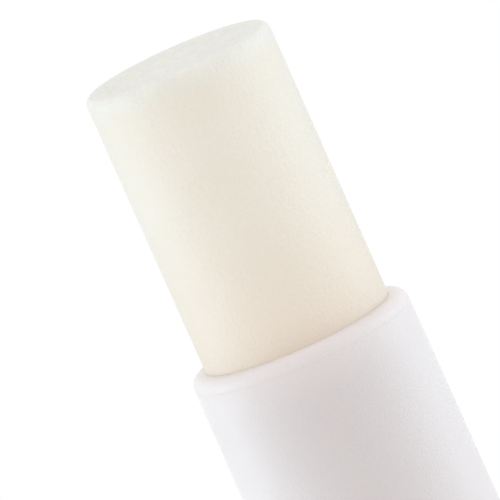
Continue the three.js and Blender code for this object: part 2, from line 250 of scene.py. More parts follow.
# Painted shade: the share of the warm cream, full below the mouth and gone well above it.
painted_shade_band = add_node(
    wax,
    "ShaderNodeMapRange",
    {
        "Value": height,
        "From Min": mouth - PAINTED_SHADE_BELOW_MOUTH,
        "From Max": mouth + PAINTED_SHADE_ABOVE_MOUTH,
        "To Min": 1,
        "To Max": 0,
    },
    interpolation_type="SMOOTHSTEP",
)
cream_with_painted_shade = add_node(
    wax,
    "ShaderNodeMix",
    {"Factor": painted_shade_band.outputs["Result"], "A": cream.outputs["Result"], "B": srgb(PAINTED_SHADE_CREAM)},
    data_type="RGBA",
)
print("the warm cream reaches", PAINTED_SHADE_ABOVE_MOUTH / MM, "mm above the mouth")

# %% [markdown]
# The poured top has set with a pale frosty bloom, which fades out just below the edge. A material
# of its own on the top faces would end in a hard line, so the bloom is a second mix, laid over the
# creams by the height. A warped noise breaks it up into blotches.

# %% Bloom of the poured top
FROST = "#E8E9E2"
PALE_FROST = "#ECEDE7"
BLOOM_MARK = 1.3 * MM
BLOOM_WARP = 0.6
BLOOM_DEPTH = 1.8 * MM
BLOOM_SHARE = 0.9
TOP_DETAIL = 4

balm_low, balm_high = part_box("balm_stick")
top = balm_high.z
blotches = add_node(
    wax,
    "ShaderNodeTexNoise",
    {"Vector": place, "Scale": 1 / BLOOM_MARK, "Detail": TOP_DETAIL, "Distortion": BLOOM_WARP},
)
frosted = add_node(
    wax,
    "ShaderNodeMapRange",
    {"Value": blotches.outputs["Fac"], "From Min": NOISE_LOW, "From Max": NOISE_HIGH},
    interpolation_type="SMOOTHSTEP",
)
frost = add_node(
    wax,
    "ShaderNodeMix",
    {"Factor": frosted.outputs["Result"], "A": srgb(FROST), "B": srgb(PALE_FROST)},
    data_type="RGBA",
)
near_top = add_node(
    wax,
    "ShaderNodeMapRange",
    {"Value": height, "From Min": top - BLOOM_DEPTH, "From Max": top, "To Max": BLOOM_SHARE},
    interpolation_type="SMOOTHSTEP",
).outputs["Result"]
balm_colour = add_node(
    wax,
    "ShaderNodeMix",
    {"Factor": near_top, "A": cream_with_painted_shade.outputs["Result"], "B": frost.outputs["Result"]},
    data_type="RGBA",
)
print("the bloom reaches", BLOOM_DEPTH / MM, "mm down from the top")

# %% [markdown]
# The surface of the balm has marks of three sizes: the soft waves of the cast side, a crust on the
# top, and the fine grain of set wax. One noise with more detail would be the same all over. Three
# bumps, each laid over the one before, can be set apart, so that the crust stays on the top.

# %% Relief of the balm
WAVE = 1.6 * MM
WAVE_DEPTH = 0.08 * MM
WAVE_STRENGTH = 0.12
CRUST_GRAIN = 0.5 * MM
CRUST_GRAIN_DEPTH = 0.06 * MM
# The grain of set wax is finer than this, and is drawn as coarse as it needs to show.
WAX_GRAIN = 0.25 * MM
WAX_GRAIN_DEPTH = 0.06 * MM
WAX_GRAIN_STRENGTH = 1

waves = add_node(wax, "ShaderNodeTexNoise", {"Vector": place, "Scale": 1 / WAVE})
crust = add_node(
    wax,
    "ShaderNodeTexNoise",
    {"Vector": place, "Scale": 1 / CRUST_GRAIN, "Detail": TOP_DETAIL},
)
grain = add_node(
    wax,
    "ShaderNodeTexNoise",
    {"Vector": place, "Scale": 1 / WAX_GRAIN, "Detail": WAX_DETAIL},
)
relief = None
for pattern, depth, strength in (
    (waves, WAVE_DEPTH, WAVE_STRENGTH),
    (crust, CRUST_GRAIN_DEPTH, near_top),
    (grain, WAX_GRAIN_DEPTH, WAX_GRAIN_STRENGTH),
):
    sockets = {"Height": pattern.outputs["Fac"], "Distance": depth, "Strength": strength}
    if relief:
        sockets["Normal"] = relief
    relief = add_node(wax, "ShaderNodeBump", sockets).outputs["Normal"]
print("marks of the balm, mm:", [round(size / MM, 2) for size in (WAVE, CRUST_GRAIN, WAX_GRAIN)])

# %% [markdown]
# Wax is dull rather than shiny, and its grain varies the gloss a little. Some light goes in and
# comes out close by, red light the furthest, which keeps shadows on the balm warm. A plain diffuse
# colour would look like chalk.

# %% Shader of the balm
WAX_SMOOTHEST = 0.46
WAX_ROUGHEST = 0.58
WAX_IOR = 1.44
WAX_SPECULAR = 0.25
WAX_TRANSLUCENCE = 0.1
WAX_SCATTER = (1.0, 0.8, 0.55)
WAX_SCATTER_DEPTH = 0.3 * MM

dull = add_node(
    wax,
    "ShaderNodeMapRange",
    {
        "Value": grain.outputs["Fac"],
        "From Min": NOISE_LOW,
        "From Max": NOISE_HIGH,
        "To Min": WAX_SMOOTHEST,
        "To Max": WAX_ROUGHEST,
    },
    interpolation_type="SMOOTHSTEP",
)
shader = add_node(
    wax,
    "ShaderNodeBsdfPrincipled",
    {
        "Base Color": balm_colour.outputs["Result"],
        "Roughness": dull.outputs["Result"],
        "IOR": WAX_IOR,
        "Specular IOR Level": WAX_SPECULAR,
        "Subsurface Weight": WAX_TRANSLUCENCE,
        "Subsurface Radius": WAX_SCATTER,
        "Subsurface Scale": WAX_SCATTER_DEPTH,
        "Normal": relief,
    },
)
add_node(wax, "ShaderNodeOutputMaterial", {"Surface": shader.outputs["BSDF"]})
print("made", balm_wax.name, "with", len(wax.nodes), "nodes")

# %% [markdown]
# ## Helpers for turned pieces
# Every piece here is round, so each is modelled as a potter would: a circle is added, and its edge
# is pulled up and scaled, ring after ring, along the profile. The same could be done by spinning a
# drawn profile, but pulling rings keeps every loop whole, so that single loops can be bevelled
# later. Long straight runs get rings in between, because a mesh with very long faces shades badly.

# %% Pulling rings
# A run that is longer by no more than this share stays whole, so that rounding adds no ring.
RUN_SLACK = 2e-6


def add_ring(radius, height, sides):
    """Adds a circle, which is then selected. In edit mode it joins the piece that is open."""
    bpy.ops.mesh.primitive_circle_add(vertices=sides, radius=radius, location=(0, 0, height))


def start_ring(name, radius, height, sides):
    """A new object in edit mode that holds one selected circle."""
    bpy.ops.object.select_all(action="DESELECT")
    add_ring(radius, height, sides)
    piece = bpy.context.object
    piece.name = name
    piece.data.name = name
    bpy.ops.object.transform_apply(location=True, rotation=True, scale=True)
    bpy.ops.object.mode_set(mode="EDIT")
    bpy.ops.mesh.select_mode(type="EDGE")
    bpy.ops.mesh.select_all(action="SELECT")
    return piece


def scale_round(share):
    """Scales the selected points towards the axis, or away from it."""
    bpy.ops.transform.resize(value=(share, share, 1), center_override=(0, 0, 0))


def pull_ring(share, rise):
    """Extrudes the selected ring upwards and scales the new ring by a share of its radius."""
    bpy.ops.mesh.extrude_edges_move(TRANSFORM_OT_translate={"value": (0, 0, rise)})
    scale_round(share)


def pull_along(profile, longest_run):
    """Pulls the selected ring along a profile of (radius, height) corners, from the first."""
    radius, height = profile[0]
    for new_radius, new_height in profile[1:]:
        run = math.hypot(new_radius - radius, new_height - height)
        steps = max(1, math.ceil(run / longest_run - RUN_SLACK))
        step_out = (new_radius - radius) / steps
        step_up = (new_height - height) / steps
        for _ in range(steps):
            pull_ring((radius + step_out) / radius, step_up)
            radius += step_out
            height += step_up


def turned(name, profile, sides, longest_run):
    """A new piece in edit mode, pulled along a profile. The last ring stays selected."""
    piece = start_ring(name, *profile[0], sides)
    pull_along(profile, longest_run)
    print(name, "is pulled along a profile of", len(profile), "corners")
    return piece


print("a run is kept whole within", RUN_SLACK, "of its longest length")

# %% [markdown]
# An operator acts on whatever is selected, and with no mouse the selection is made by place: a test
# is given the position of each corner. Two kinds of place are enough for round pieces, a whole ring
# and a patch of a round wall.

# %% Selecting by place
TOUCH = 0.002 * MM


def pick(kind, test):
    """Selects the vertices, edges or faces of the open piece whose corners all pass a test."""
    bpy.ops.mesh.select_mode(type=kind)
    bpy.ops.mesh.select_all(action="DESELECT")
    shape = bmesh.from_edit_mesh(bpy.context.edit_object.data)
    found = {"VERT": shape.verts, "EDGE": shape.edges, "FACE": shape.faces}[kind]
    for part in found:
        corners = [part] if kind == "VERT" else part.verts
        part.select_set(all(test(corner.co) for corner in corners))
    bmesh.update_edit_mesh(bpy.context.edit_object.data)


def on_ring(radius, height):
    """A test for points that lie on one ring."""
    return lambda p: abs(math.hypot(p.x, p.y) - radius) < TOUCH and abs(p.z - height) < TOUCH


def in_window(angle, half_angle, least_radius, low, high):
    """A test for the points of a patch of a round wall about an angle."""
    return lambda p: (
        math.cos(math.atan2(p.y, p.x) - angle) > math.cos(half_angle)
        and math.hypot(p.x, p.y) > least_radius - TOUCH
        and low - TOUCH < p.z < high + TOUCH
    )


print("points closer than", TOUCH / MM, "mm count as one place")

# %% [markdown]
# A few steps come back on every piece: points are moved in or out, an edge is rounded, two open
# rings are joined, and the finished mesh is cleaned and given its material. Handing a piece over
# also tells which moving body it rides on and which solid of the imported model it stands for.

# %% Shaping and finishing
SEAM = TOUCH / 10
TRUE_ARC = 0.5


def move_out(angle, distance):
    """Moves the selected points straight outwards at an angle, or inwards if it is negative."""
    bpy.ops.transform.translate(value=(distance * math.cos(angle), distance * math.sin(angle), 0))


def round_ring(radius, height, fillet, segments):
    """Bevels one ring into an arc."""
    pick("EDGE", on_ring(radius, height))
    bpy.ops.mesh.bevel(offset=fillet, segments=segments, profile=TRUE_ARC, affect="EDGES")


def bridge_rings(first_test, second_test):
    """Joins two open rings by a band of faces."""
    pick("EDGE", lambda p: first_test(p) or second_test(p))
    bpy.ops.mesh.bridge_edge_loops()


def finish_mesh(sharp_degrees):
    """Closes seams, turns the faces out, leaves edit mode and smooths the shading."""
    bpy.ops.mesh.select_all(action="SELECT")
    bpy.ops.mesh.remove_doubles(threshold=SEAM)
    bpy.ops.mesh.normals_make_consistent(inside=False)
    bpy.ops.object.mode_set(mode="OBJECT")
    bpy.ops.object.shade_smooth_by_angle(angle=math.radians(sharp_degrees))


def hand_over(piece, material, body, node):
    """Gives a finished piece its material, its body and the solid that it stands for."""
    piece.data.materials.clear()
    piece.data.materials.append(material)
    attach(piece, body)
    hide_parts(node)
    print(piece.name, "has", len(piece.data.polygons), "faces")


print("seams closer than", round(SEAM / MM, 4), "mm are closed")

# %% [markdown]
# ## The tube
# Barrel, shoulder and neck are one moulding. A Solidify modifier would give it a wall of one
# thickness, but this wall varies, so the profile runs round both its faces: up the outside from the
# foot of the barrel, over the lip and down the bore, past the cavity and the ridge that hold the
# dial. The fine line just below the lip is where the mould's core pin met its sleeve. At the mouth
# the bore closes up to the balm that was cast there. The last ring is bridged to the first, which
# closes the wall.

# %% Wall of the tube
ROUND_SIDES = 120
WALL_RUN = 1.5 * MM
BORE_RADIUS = 6.18 * MM
NECK_RADIUS = 7.2 * MM
NECK_FOOT_RADIUS = 7.28 * MM
SHOULDER_HEIGHT = 41.1 * MM
BEAD_HEIGHT = 45.1 * MM
BEAD_HALF_WIDTH = 0.6 * MM
BEAD_RADIUS = 7.385 * MM
LINE_BELOW_MOUTH = 0.9 * MM
LINE_HALF_WIDTH = 0.05 * MM
LINE_DEPTH = 0.025 * MM
MOUTH_FIT_RADIUS = 6.134 * MM
MOUTH_FIT_LENGTH = 1 * MM
RIB_BELOW_MOUTH = 2.4 * MM
RIB_DEPTH = 0.4 * MM
CAVITY_RADIUS = 6.48 * MM
CAVITY_TOP = 12.2 * MM
RIDGE_RADIUS = 5.68 * MM
RIDGE_TOP = 10 * MM
RIDGE_LOW = 9 * MM
ENTRY_RADIUS = 6.28 * MM

barrel_radius = tube_high.x
barrel_foot = tube_low.z
line = mouth - LINE_BELOW_MOUTH
rib_top = mouth - RIB_BELOW_MOUTH
bore_low = CAVITY_TOP + CAVITY_RADIUS - BORE_RADIUS
tube_profile = [
    (barrel_radius, barrel_foot),
    (barrel_radius, SHOULDER_HEIGHT),
    (NECK_FOOT_RADIUS, SHOULDER_HEIGHT),
    (NECK_FOOT_RADIUS, BEAD_HEIGHT - BEAD_HALF_WIDTH),
    (BEAD_RADIUS, BEAD_HEIGHT),
    (NECK_FOOT_RADIUS, BEAD_HEIGHT + BEAD_HALF_WIDTH),
    (NECK_RADIUS, line - LINE_HALF_WIDTH),
    (NECK_RADIUS - LINE_DEPTH, line),
    (NECK_RADIUS, line + LINE_HALF_WIDTH),
    (NECK_RADIUS, mouth),
    (MOUTH_FIT_RADIUS, mouth),
    (BORE_RADIUS, mouth - MOUTH_FIT_LENGTH),
    (BORE_RADIUS, rib_top),
    (BORE_RADIUS, rib_top - RIB_DEPTH),
    (BORE_RADIUS, bore_low),
    (CAVITY_RADIUS, CAVITY_TOP),
    (CAVITY_RADIUS, RIDGE_TOP),
    (RIDGE_RADIUS, RIDGE_TOP),
    (RIDGE_RADIUS, RIDGE_LOW),
    (ENTRY_RADIUS, barrel_foot),
]
tube = turned("tube", tube_profile, ROUND_SIDES, WALL_RUN)
bridge_rings(on_ring(barrel_radius, barrel_foot), on_ring(ENTRY_RADIUS, barrel_foot))

# %% [markdown]
# Two guide ribs inside the bore keep the elevator from turning. They could be added as bars, but
# they are part of the moulding, so narrow strips of the bore are moved inwards. They stand a little
# behind the sides, since the photograph shows no groove in the balm. The round lip is the edge that
# the photograph shows best. It is bevelled out of one loop, so that its size is one number, and so
# are the shoulder, the foot of the barrel and the bead that a cap would click over.

# %% Guide ribs and rounded edges
RIB_BEHIND_SIDE = math.radians(18)
RIB_HALF_ANGLE = math.radians(4)
LIP_ROUND = 0.68 * MM
SHOULDER_ROUND = 0.4 * MM
BARREL_EDGE_ROUND = 0.35 * MM
BEAD_ROUND = 0.25 * MM
FINE_ARC = 10
PLAIN_ARC = 5
TUBE_SHARP_DEGREES = 35

rib_angles = (RIB_BEHIND_SIDE, math.pi - RIB_BEHIND_SIDE)
for angle in rib_angles:
    strip = in_window(angle, RIB_HALF_ANGLE, 0, bore_low, rib_top - RIB_DEPTH)
    pick("VERT", lambda p: strip(p) and math.hypot(p.x, p.y) < BORE_RADIUS + TOUCH)
    move_out(angle, -RIB_DEPTH)
round_ring(NECK_RADIUS, mouth, LIP_ROUND, FINE_ARC)
round_ring(barrel_radius, SHOULDER_HEIGHT, SHOULDER_ROUND, PLAIN_ARC)
round_ring(barrel_radius, barrel_foot, BARREL_EDGE_ROUND, PLAIN_ARC)
round_ring(BEAD_RADIUS, BEAD_HEIGHT, BEAD_ROUND, PLAIN_ARC)
finish_mesh(TUBE_SHARP_DEGREES)
hand_over(tube, white_plastic, "tube", "tube_body")

# %% [markdown]
# ## The balm
# The bar was cast in the tube, round the screw and down into the elevator's cup. Its profile starts
# at the blind end of the hole for the screw, runs down and out round the foot, and climbs the side
# to the poured top, where the rings lie closer. The ends could be filled with one many-sided face
# each, but that shades badly once it is bent, so the last ring is drawn in to a point.

# %% Bar of balm
BALM_SIDES = 160
SKIN_RUN = 0.7 * MM
CRUST_RUN = 0.2 * MM
BALM_RADIUS = 6.13 * MM
SCREW_HOLE_RADIUS = 3 * MM
HOLE_BELOW_TOP = 7.4 * MM
BALM_FOOT_RADIUS = 4.93 * MM
BALM_FOOT_HEIGHT = 5.1 * MM
LUG_ABOVE_FOOT = 1.6 * MM
LUG_HEIGHT = 1.4 * MM
GROOVE_BELOW_TOP = 1.3 * MM
EDGE_BAND = 0.65 * MM
MIDDLE_RADIUS = 0.7 * MM

body_low = balm_low.z + BALM_FOOT_HEIGHT
lug_low = balm_low.z + LUG_ABOVE_FOOT
crust_radius = BALM_RADIUS - EDGE_BAND
balm_profile = [
    (SCREW_HOLE_RADIUS, top - HOLE_BELOW_TOP),
    (SCREW_HOLE_RADIUS, balm_low.z),
    (BALM_FOOT_RADIUS, balm_low.z),
    (BALM_FOOT_RADIUS, lug_low),
    (BALM_FOOT_RADIUS, lug_low + LUG_HEIGHT),
    (BALM_FOOT_RADIUS, body_low),
    (BALM_RADIUS, body_low),
    (BALM_RADIUS, top - GROOVE_BELOW_TOP),
    (BALM_RADIUS, top),
    (crust_radius, top),
]


def cap_ring():
    """Closes the selected ring in one point at its middle."""
    bpy.ops.mesh.extrude_edges_move()
    bpy.ops.mesh.merge(type="CENTER")


balm = turned("balm_bar", balm_profile, BALM_SIDES, SKIN_RUN)
pull_along([(crust_radius, top), (MIDDLE_RADIUS, top)], CRUST_RUN)
cap_ring()
pick("EDGE", on_ring(SCREW_HOLE_RADIUS, top - HOLE_BELOW_TOP))
cap_ring()

# %% [markdown]
# At the foot, balm ran into the four windows of the elevator's cup and set there as lugs, which
# hold the bar when it is wound down. Blocks could be joined on, but a patch of the foot, extruded
# outwards, keeps the round face. The guide ribs of the tube left a shallow groove each, pressed in
# by moving the points there, less at its soft edges.

# %% Lugs, grooves and rounded edge
WINDOWS = 4
LUG_DEPTH = 0.6 * MM
LUG_HALF_ANGLE = math.radians(9.5)
GROOVE_STEPS = ((math.radians(5.6), 0.48 * MM), (math.radians(8), 0.12 * MM))
BALM_EDGE_ROUND = 0.55 * MM

window_angles = [math.tau * (k + 0.5) / WINDOWS for k in range(WINDOWS)]
lug_high = lug_low + LUG_HEIGHT
for angle in window_angles:
    pick("FACE", in_window(angle, LUG_HALF_ANGLE, BALM_FOOT_RADIUS, lug_low, lug_high))
    bpy.ops.mesh.extrude_region_move()
    move_out(angle, LUG_DEPTH)
for angle in rib_angles:
    for half_angle, depth in GROOVE_STEPS:
        pick("VERT", in_window(angle, half_angle, BALM_RADIUS, body_low, top - GROOVE_BELOW_TOP))
        move_out(angle, -depth)
round_ring(BALM_RADIUS, top, BALM_EDGE_ROUND, FINE_ARC)
print("the balm has", len(window_angles), "lugs and", len(rib_angles), "grooves")

# %% [markdown]
# The poured top has set with a lumpy crust, up to a quarter of a millimetre deep. Seen from so low,
# each lump hides a little of what lies behind it, which a bump can't show, so the crust is real
# relief: a Displace modifier moves the points down by a cloud pattern. A vertex group holds it back
# near the rim.

# %% Crust of the balm's top
CRUST_LUMP = 0.7 * MM
CRUST_DEPTH = 0.3 * MM
CRUST_STEPS = ((5.3 * MM, 0.25), (5.0 * MM, 0.6), (4.6 * MM, 1))
BALM_SHARP_DEGREES = 60


def apply_modifier(piece, kind, **settings):
    """Gives a piece a modifier and makes its result part of the mesh."""
    bpy.ops.object.select_all(action="DESELECT")
    piece.select_set(True)
    bpy.context.view_layer.objects.active = piece
    modifier = piece.modifiers.new(kind.lower(), kind)
    for name, value in settings.items():
        setattr(modifier, name, value)
    bpy.ops.object.modifier_apply(modifier=modifier.name)


bpy.ops.object.vertex_group_add()
for radius, share in CRUST_STEPS:
    pick("VERT", lambda p: p.z > top - TOUCH and math.hypot(p.x, p.y) < radius)
    bpy.context.tool_settings.vertex_group_weight = share
    bpy.ops.object.vertex_group_assign()
finish_mesh(BALM_SHARP_DEGREES)
lumps = bpy.data.textures.new("crust_lumps", "CLOUDS")
lumps.noise_scale = CRUST_LUMP
apply_modifier(
    balm,
    "DISPLACE",
    texture=lumps,
    texture_coords="LOCAL",
    direction="Z",
    mid_level=1,
    strength=CRUST_DEPTH,
    vertex_group=balm.vertex_groups[0].name,
)
hand_over(balm, balm_wax, "elevator", "balm_stick")

# %% [markdown]
# ## The dial
# The dial is the wheel that a fingertip turns. It starts as a plain turned wheel, hollow below for
# even walls and cored above to leave a springy collar, whose flange snaps behind the tube's ridge.
# The hollows could be cut out of a solid wheel, but they are as round as it is, so one profile
# holds them all. The small dimple in the hub is where the plastic entered the mould.

# %% Wheel of the dial
DIAL_RIBS = 36
POINTS_PER_RIB = 8
DIAL_HEIGHT = 6.8 * MM
FLUTE_DEPTH = 0.4 * MM
FLUTE_RUNOUT = 0.5 * MM
PLAIN_BAND = 0.9 * MM
FOOT_CHAMFER = 0.5 * MM
FOOT_WIDTH = 1.2 * MM
RECESS_DEPTH = 2.2 * MM
HUB_RADIUS = 3.2 * MM
HUB_SETBACK = 0.6 * MM
GATE_RADIUS = 0.6 * MM
GATE_FLOOR_RADIUS = 0.3 * MM
GATE_DEPTH = 0.25 * MM
COLLAR_RADIUS = 5.38 * MM
COLLAR_CORE_RADIUS = 4.28 * MM
COLLAR_CORE_DEPTH = 5 * MM
FLANGE_RADIUS = 6.08 * MM
FLANGE_LOW = 10.3 * MM
FLANGE_LENGTH = 0.7 * MM

_, dial_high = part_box("twist_dial")
dial_radius = dial_high.x
dial_foot_radius = dial_radius - FLUTE_DEPTH - FOOT_CHAMFER
recess_radius = dial_foot_radius - FOOT_WIDTH
ribs_top = DIAL_HEIGHT - PLAIN_BAND
collar_top = dial_high.z
core_low = collar_top - COLLAR_CORE_DEPTH
dial_profile = [
    (GATE_FLOOR_RADIUS, HUB_SETBACK + GATE_DEPTH),
    (GATE_RADIUS, HUB_SETBACK),
    (HUB_RADIUS, HUB_SETBACK),
    (HUB_RADIUS, RECESS_DEPTH),
    (recess_radius, RECESS_DEPTH),
    (recess_radius, 0),
    (dial_foot_radius, 0),
    (dial_radius, FOOT_CHAMFER),
    (dial_radius, ribs_top - FLUTE_RUNOUT),
    (dial_radius, ribs_top),
    (dial_radius, DIAL_HEIGHT),
    (COLLAR_RADIUS, DIAL_HEIGHT),
    (COLLAR_RADIUS, FLANGE_LOW),
    (FLANGE_RADIUS, FLANGE_LOW),
    (FLANGE_RADIUS, FLANGE_LOW + FLANGE_LENGTH),
    (COLLAR_RADIUS, collar_top),
    (COLLAR_CORE_RADIUS, collar_top),
    (COLLAR_CORE_RADIUS, core_low),
    (HUB_RADIUS, core_low),
    (HUB_RADIUS, collar_top),
    (GATE_RADIUS, collar_top),
]
dial = turned("dial", dial_profile, DIAL_RIBS * POINTS_PER_RIB, WALL_RUN)
cap_ring()
pick("EDGE", on_ring(*dial_profile[0]))
cap_ring()

# %% [markdown]
# The flutes give the fingertip its grip. One rib could be modelled and copied round, but then its
# edges would have to be sewn up. The wheel has eight points for each rib instead, and the points
# between the ribs are drawn inwards in steps, which rounds all the flutes at once.

# %% Flutes of the dial
FLUTE_STEPS = (((4,), 1), ((3, 5), 0.85), ((2, 6), 0.4))
DIAL_EDGE_ROUND = 0.2 * MM
SHARP_DEGREES = 40


def in_flute(places):
    """A test for the wheel's outer points that have one of these places in their rib."""
    points = DIAL_RIBS * POINTS_PER_RIB
    return lambda p: (
        math.hypot(p.x, p.y) > dial_radius - TOUCH
        and p.z < ribs_top - FLUTE_RUNOUT + TOUCH
        and round(math.atan2(p.y, p.x) / math.tau * points) % POINTS_PER_RIB in places
    )


for places, depth_share in FLUTE_STEPS:
    pick("VERT", in_flute(places))
    scale_round(1 - FLUTE_DEPTH * depth_share / dial_radius)
round_ring(dial_radius, DIAL_HEIGHT, DIAL_EDGE_ROUND, PLAIN_ARC)
finish_mesh(SHARP_DEGREES)
print("the dial has", DIAL_RIBS, "flutes and", len(dial.data.polygons), "faces so far")

# %% [markdown]
# Six gussets stiffen the wheel from below. They are one long bar through the hub, joined to the
# wheel three times and turned in between. A six-sided cutter then leaves the socket for the screw's
# root. Booleans suit both, because bar and socket cut across the rings of the wheel.

# %% Gussets and socket of the dial
GUSSET_BARS = 3
GUSSET_WIDTH = 0.8 * MM
GUSSET_SETBACK = 0.65 * MM
ROOT_RADIUS = 2.3 * MM
ROOT_LENGTH = 6.6 * MM
PRESS_CLEARANCE = 0.1 * MM
HEXAGON = 6

gusset_reach = recess_radius + FOOT_WIDTH / 2
gusset_high = RECESS_DEPTH + FOOT_WIDTH / 2
bpy.ops.mesh.primitive_cube_add(
    size=1,
    location=(0, 0, (GUSSET_SETBACK + gusset_high) / 2),
    scale=(2 * gusset_reach, GUSSET_WIDTH, gusset_high - GUSSET_SETBACK),
)
bar = bpy.context.object
for k in range(GUSSET_BARS):
    bar.rotation_euler.z = math.pi * k / GUSSET_BARS
    apply_modifier(dial, "BOOLEAN", object=bar, operation="UNION", solver="EXACT")
bpy.data.objects.remove(bar)
socket_low = collar_top - ROOT_LENGTH - PRESS_CLEARANCE
bpy.ops.mesh.primitive_cylinder_add(
    vertices=HEXAGON,
    radius=ROOT_RADIUS + PRESS_CLEARANCE,
    depth=2 * (collar_top - socket_low),
    location=(0, 0, collar_top),
)
cutter = bpy.context.object
apply_modifier(dial, "BOOLEAN", object=cutter, operation="DIFFERENCE", solver="EXACT")
bpy.data.objects.remove(cutter)
bpy.ops.object.shade_smooth_by_angle(angle=math.radians(SHARP_DEGREES))
hand_over(dial, white_plastic, "dial", "twist_dial")

# %% [markdown]
# ## The drive screw
# A thread could be a ridge swept along a helix and joined to a core. Here it is one outline that
# turns as it climbs, which leaves nothing to join. The outline is a ring with one broad ridge, made
# by pushing its points out in pairs, from the crest round to the root. The Screw modifier then
# lifts and turns it, backwards for a left-hand thread. The outline has forty sides, so that each
# tenth of a millimetre of the lead of four turns it by exactly one side.

# %% Threaded surface
SCREW_SIDES = 40
THREAD_LEAD = 4 * MM
THREAD_CORE_RADIUS = 1.8 * MM
THREAD_DEPTH = 0.9 * MM
RIDGE_MIDDLE = 0.5
RIDGE_STEEPNESS = 0.8
STEPS_PER_TURN = 20
SAME_ANGLE = 0.001


def threaded(name, low, high, clearance):
    """A left-hand threaded surface between two heights, in edit mode, open at both ends."""
    core = THREAD_CORE_RADIUS + clearance
    crest = -math.tau * low / THREAD_LEAD
    piece = start_ring(name, core, low, SCREW_SIDES)
    for step in range(SCREW_SIDES // 2 + 1):
        away = math.cos(math.tau * step / SCREW_SIDES)
        rise = min(max(RIDGE_MIDDLE + RIDGE_STEEPNESS * away, 0), 1)
        pick("VERT", lambda p: abs(math.cos(math.atan2(p.y, p.x) - crest) - away) < SAME_ANGLE)
        scale_round(1 + THREAD_DEPTH * rise / core)
    bpy.ops.object.mode_set(mode="OBJECT")
    turns = (high - low) / THREAD_LEAD
    steps = round(turns * STEPS_PER_TURN)
    apply_modifier(
        piece,
        "SCREW",
        axis="Z",
        angle=-math.tau * turns,
        screw_offset=high - low,
        steps=steps,
        render_steps=steps,
    )
    bpy.ops.object.mode_set(mode="EDIT")
    print(name, "has", round(turns, 2), "turns of thread")
    return piece


print("one turn of the dial lifts the balm by", THREAD_LEAD / MM, "mm")

# %% [markdown]
# The screw is this surface with its ends closed. Below, the flange that seats on the dial's collar
# and the six-sided root that the dial turns are bridged on, ring by ring. They could be two more
# solids, but on the real screw all is one moulding. Above, the tip is drawn in, so that the
# elevator finds the thread when the stick is put together.

# %% Drive screw
TIP_CHAMFER = 0.7 * MM
TIP_SHARE = 0.74
SCREW_FLANGE_TOP = 13 * MM
SCREW_FLANGE_LOW = 12 * MM


def at_height(height):
    """A test for points at one height, close to the screw."""
    most = THREAD_CORE_RADIUS + 2 * THREAD_DEPTH
    return lambda p: abs(p.z - height) < TOUCH and math.hypot(p.x, p.y) < most


screw_low, screw_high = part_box("screw_spindle")
thread_top = screw_high.z - TIP_CHAMFER
screw = threaded("drive_screw", SCREW_FLANGE_TOP, thread_top, 0)
pick("EDGE", at_height(thread_top))
pull_ring(TIP_SHARE, TIP_CHAMFER)
cap_ring()
add_ring(HUB_RADIUS, SCREW_FLANGE_TOP, SCREW_SIDES)
bridge_rings(at_height(SCREW_FLANGE_TOP), on_ring(HUB_RADIUS, SCREW_FLANGE_TOP))
pick("EDGE", on_ring(HUB_RADIUS, SCREW_FLANGE_TOP))
pull_ring(1, SCREW_FLANGE_LOW - SCREW_FLANGE_TOP)
add_ring(ROOT_RADIUS, SCREW_FLANGE_LOW, HEXAGON)
bridge_rings(on_ring(HUB_RADIUS, SCREW_FLANGE_LOW), on_ring(ROOT_RADIUS, SCREW_FLANGE_LOW))
pick("EDGE", on_ring(ROOT_RADIUS, SCREW_FLANGE_LOW))
pull_ring(1, screw_low.z - SCREW_FLANGE_LOW)
cap_ring()
finish_mesh(SHARP_DEGREES)
hand_over(screw, natural_plastic, "dial", "screw_spindle")

# %% [markdown]
# ## The elevator
# The elevator climbs the screw and carries the balm in its cup. Its nut could be cut by the screw
# itself with a Boolean, but a running clearance is wanted all round, so it is the same thread,
# grown by that clearance. The outside is pulled along its profile from the foot of the hub, over
# the rim of the cup and down to the cup's floor, and is bridged to the nut at both ends.

# %% Nut and cup of the elevator
ELEVATOR_SIDES = 80
THREAD_CLEARANCE = 0.3 * MM
LIFT_HUB_RADIUS = 3.9 * MM
LIFT_HUB_LENGTH = 5.5 * MM
LIFT_FLOOR = 1.4 * MM
LIFT_RADIUS = 5.93 * MM
LIFT_WALL = 0.7 * MM
WINDOW_ABOVE_FLOOR = 1.6 * MM
WINDOW_HEIGHT = 2 * MM

lift_low, lift_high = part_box("elevator_cup")
cup_low = lift_low.z + LIFT_HUB_LENGTH
cup_floor = cup_low + LIFT_FLOOR
window_low = cup_floor + WINDOW_ABOVE_FLOOR
window_high = window_low + WINDOW_HEIGHT
inner_radius = LIFT_RADIUS - LIFT_WALL
lift_profile = [
    (LIFT_HUB_RADIUS, lift_low.z),
    (LIFT_HUB_RADIUS, cup_low),
    (LIFT_RADIUS, cup_low),
    (LIFT_RADIUS, window_low),
    (LIFT_RADIUS, window_high),
    (LIFT_RADIUS, lift_high.z),
    (inner_radius, lift_high.z),
    (inner_radius, window_high),
    (inner_radius, window_low),
    (inner_radius, cup_floor),
    (LIFT_HUB_RADIUS, cup_floor),
]
elevator = threaded("elevator", lift_low.z, cup_floor, THREAD_CLEARANCE)
add_ring(*lift_profile[0], ELEVATOR_SIDES)
pull_along(lift_profile, WALL_RUN)
bridge_rings(at_height(lift_low.z), on_ring(*lift_profile[0]))
bridge_rings(at_height(cup_floor), on_ring(*lift_profile[-1]))

# %% [markdown]
# Two slots take the tube's guide ribs, and the windows let the balm flow in. The windows could be
# cut with a Boolean, but each lies between two patches of the same size, one on the outer wall and
# one behind it, so bridging the two patches opens it and makes its sides.

# %% Slots and windows of the elevator
LIFT_EDGE_ROUND = 0.35 * MM
SLOT_HALF_ANGLE = math.radians(6)
SLOT_DEPTH = 0.37 * MM
WINDOW_HALF_ANGLE = math.radians(14)

